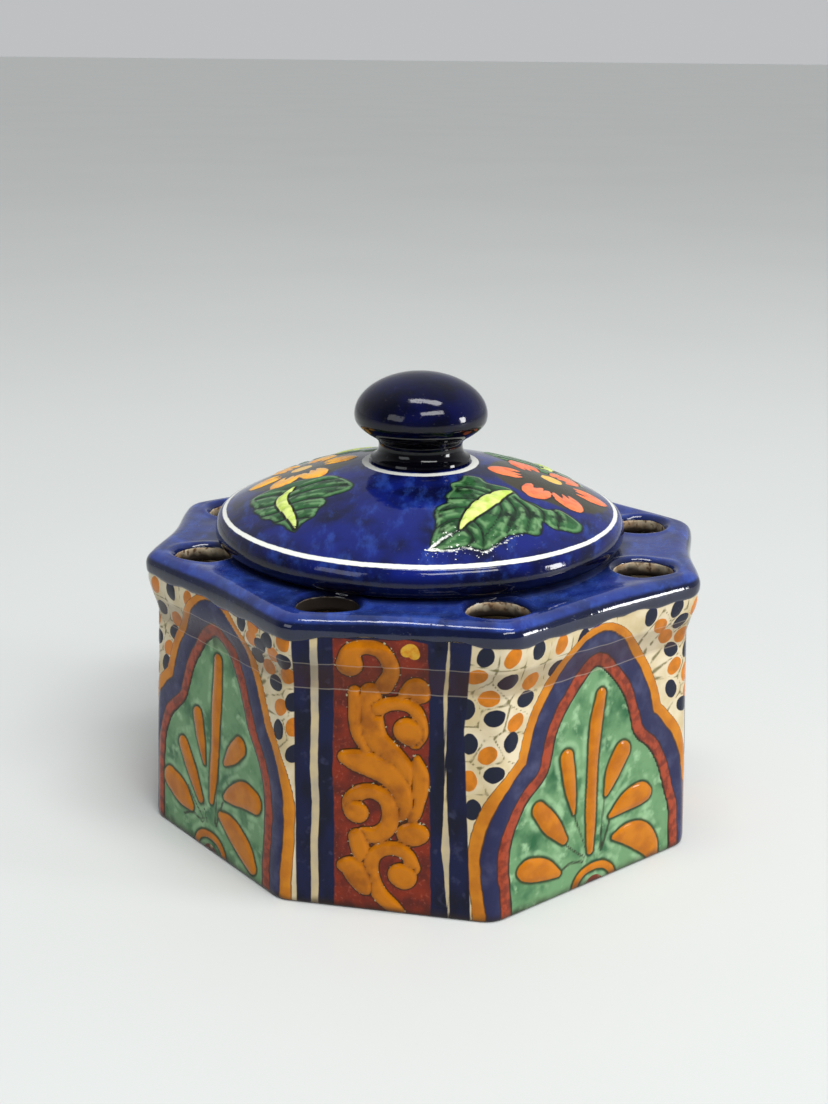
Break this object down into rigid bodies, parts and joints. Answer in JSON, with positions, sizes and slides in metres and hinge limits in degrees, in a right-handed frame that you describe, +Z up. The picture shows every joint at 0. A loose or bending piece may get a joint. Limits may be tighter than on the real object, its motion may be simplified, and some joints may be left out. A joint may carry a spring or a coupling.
{
  "type": "lidded jar",
  "caption": "Eight-sided glazed earthenware jar with a domed lid, a mushroom knob and a ring of tool holes round its mouth.",
  "frame": {"origin": "on the table under the middle of the eight-sided pot, level with its foot", "axes": "+Z up along the pot's axis; the front scroll face looks along -Y; +X is to the right seen from the front"},
  "size_m": [0.156, 0.1554, 0.1304],
  "materials": {
    "wall_glaze": "gloss, hand painted in ochre, green, rust, slate and cobalt on cream",
    "deck_glaze": "gloss, mottled cobalt blue",
    "lid_glaze": "gloss, mottled cobalt blue with painted flowers",
    "knob_glaze": "high gloss, very dark navy",
    "bare_clay": "unglazed fired clay"
  },
  "bodies": {
    "pot": {"body_wall": "wall_glaze", "base_slab": "bare_clay", "top_deck": "deck_glaze"},
    "lid": {"lid_dome": "lid_glaze", "lid_flange": "bare_clay", "lid_knob": "knob_glaze"}
  },
  "joints": [
    {"name": "lid_lift", "type": "slide", "parent": "pot", "child": "lid", "axis": [0, 0, 1], "range_m": [0, 0.08]}
  ]
}
